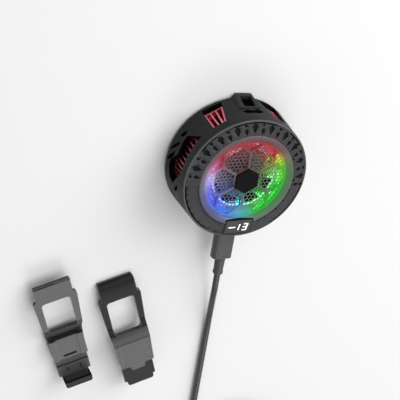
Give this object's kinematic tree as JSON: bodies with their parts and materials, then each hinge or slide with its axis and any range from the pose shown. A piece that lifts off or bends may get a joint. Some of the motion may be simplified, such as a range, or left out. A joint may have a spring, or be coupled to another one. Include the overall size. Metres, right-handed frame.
{
  "type": "phone cooling fan",
  "caption": "Round magnetic phone cooler with a thermoelectric plate, finned heat sink, lit fan grille and display, a plug-in USB lead and loose sliding-jaw clips.",
  "frame": {"origin": "centre of the cold plate's face, which lies on the phone or on a table", "axes": "+Z along the fan axis from the cold plate to the grille, -Y towards the display and the USB lead, +X to the right as the display is read"},
  "size_m": [0.184, 0.2325, 0.0231],
  "materials": {
    "housing_plastic": "fine matte texture",
    "silicone": "soft matte",
    "magnet": "plated",
    "bare_aluminium": "brushed",
    "steel": "satin",
    "thermal_pad": "soft",
    "white_ceramic": "unglazed",
    "alloy_legs": "dull",
    "foam": "closed-cell foam",
    "pink_anodised": "anodised",
    "black_plastic": "moulded",
    "bronze": "sintered",
    "circuit_board": "solder mask",
    "copper": "enamelled wire",
    "white_board": "solder mask",
    "led": "clear resin",
    "light_guide": "frosted",
    "bezel_plastic": "fine matte texture",
    "ring_plastic": "satin",
    "gloss_black": "glossy",
    "display_glass": "polished",
    "digit_light": "lit",
    "lead_plastic": "satin",
    "lead_rubber": "satin",
    "tie_fabric": "woven strap",
    "clip_plastic": "satin"
  },
  "bodies": {
    "cooler": {"housing": "housing_plastic", "clip_bracket": "housing_plastic", "vent_bars": "pink_anodised", "grip_pad": "silicone", "back_cover": "housing_plastic", "ring_magnets": "magnet", "cold_plate": "bare_aluminium", "clamp_screws": "steel", "thermal_pad": "thermal_pad", "tec_cold_ceramic": "white_ceramic", "tec_legs": "alloy_legs", "tec_hot_ceramic": "white_ceramic", "foam_frame": "foam", "heat_sink": "pink_anodised", "fan_base": "black_plastic", "fan_screws": "steel", "bearing": "bronze", "motor_board": "circuit_board", "stator_core": "steel", "stator_windings": "copper", "board_pad": "thermal_pad", "main_board": "circuit_board", "board_parts": "black_plastic", "usb_socket": "steel", "usb_tongue": "black_plastic", "mid_plate": "black_plastic", "led_board": "white_board", "leds": "led", "light_ring": "light_guide", "bezel": "bezel_plastic", "funnel_ring": "ring_plastic", "grille": "gloss_black", "hub_cap": "gloss_black", "display_module": "black_plastic", "display_lens": "display_glass", "display_digits": "digit_light"},
    "fan": {"shaft": "steel", "rotor_cup": "steel", "rotor_magnet": "magnet", "impeller": "black_plastic"},
    "usb_lead": {"plug_shell": "steel", "plug_body": "lead_plastic", "strain_relief": "lead_rubber", "lead": "lead_rubber", "lead_coil": "lead_rubber", "tie": "tie_fabric", "usb_a_relief": "lead_rubber", "usb_a_plug": "lead_plastic", "usb_a_shell": "steel"},
    "clip_a": {"clip_a_frame": "clip_plastic"},
    "clip_a_slider": {"clip_a_jaw": "clip_plastic", "clip_a_pad": "foam"},
    "clip_b": {"clip_b_frame": "clip_plastic"},
    "clip_b_slider": {"clip_b_jaw": "clip_plastic", "clip_b_pad": "foam"}
  },
  "joints": [
    {"name": "fan_spin", "type": "hinge", "parent": "cooler", "child": "fan", "pos_m": [0, 0, 0.012], "axis": [0, 0, 1], "continuous": true},
    {"name": "plug_pull", "type": "slide", "parent": "cooler", "child": "usb_lead", "axis": [0, -1, 0], "range_m": [0, 0.008]},
    {"name": "clip_a_lift", "type": "slide", "parent": "cooler", "child": "clip_a", "axis": [0, 0, 1], "range_m": [0, 0.03]},
    {"name": "clip_a_jaw_slide", "type": "slide", "parent": "clip_a", "child": "clip_a_slider", "axis": [0.3007, -0.9537, 0], "range_m": [0, 0.008], "stiffness_N_per_m": 150},
    {"name": "clip_b_lift", "type": "slide", "parent": "cooler", "child": "clip_b", "axis": [0, 0, 1], "range_m": [0, 0.03]},
    {"name": "clip_b_jaw_slide", "type": "slide", "parent": "clip_b", "child": "clip_b_slider", "axis": [0.3003, -0.9525, 0.0511], "range_m": [0, 0.008], "stiffness_N_per_m": 150}
  ]
}
